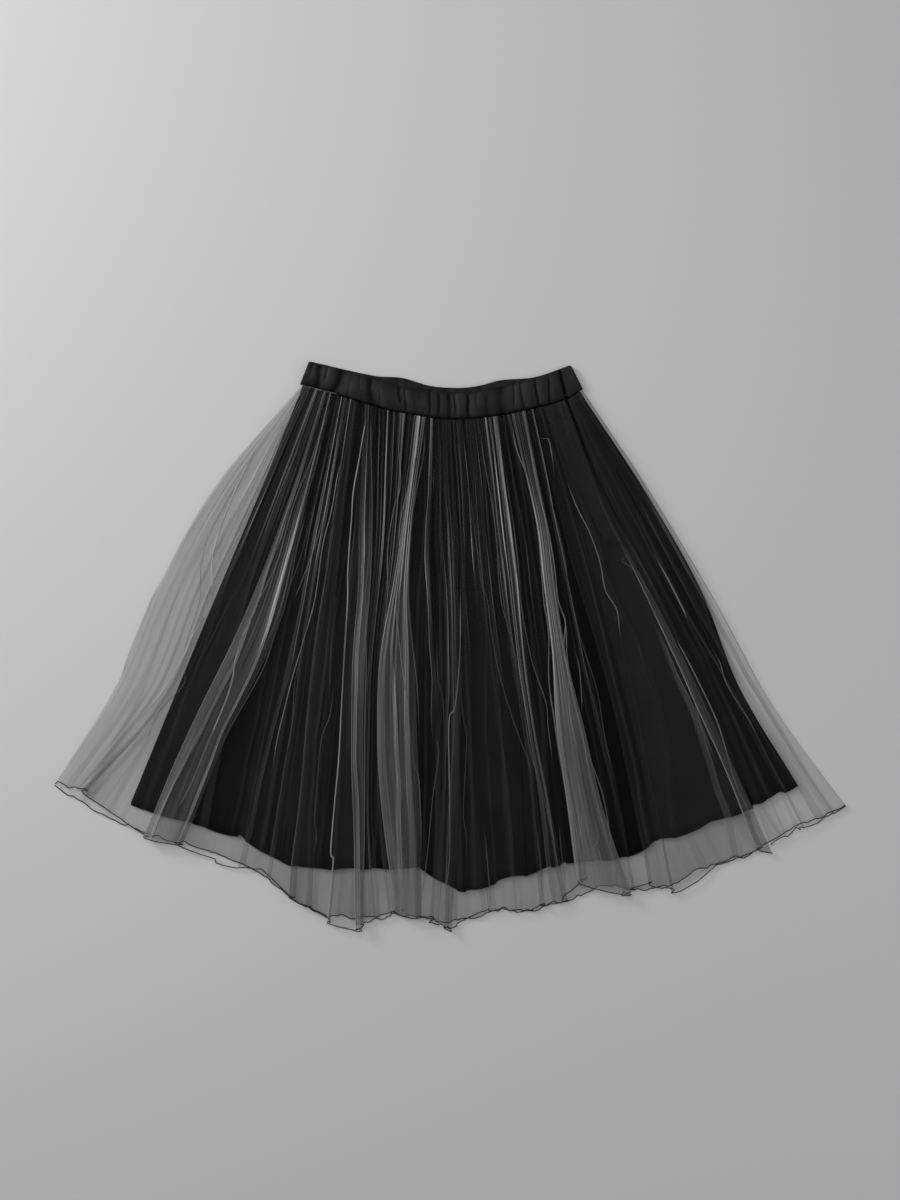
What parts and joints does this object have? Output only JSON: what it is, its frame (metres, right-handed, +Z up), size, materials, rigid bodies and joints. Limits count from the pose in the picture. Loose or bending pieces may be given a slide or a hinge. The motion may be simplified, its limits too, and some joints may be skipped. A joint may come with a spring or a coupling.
{
  "type": "tulle skirt",
  "caption": "Knee-length skirt laid flat, front up: a sheer gathered tulle layer over a shorter opaque underskirt, on an elasticated waistband with a side opening.",
  "frame": {"origin": "on the surface that the skirt lies on, in the middle of its width and of its length", "axes": "+Z up from that surface, +Y from the hem to the waist, +X to the right of someone who looks down at the front"},
  "size_m": [0.9887, 0.7076, 0.0183],
  "materials": {
    "waistband": "fine woven, crinkled over elastic",
    "tulle": "sheer soft net",
    "underskirt": "smooth lining satin"
  },
  "bodies": {
    "root": {"waistband": "waistband", "tulle_front": "tulle", "tulle_back": "tulle", "underskirt_front": "underskirt", "underskirt_back": "underskirt", "placket_facing": "underskirt"}
  },
  "joints": []
}
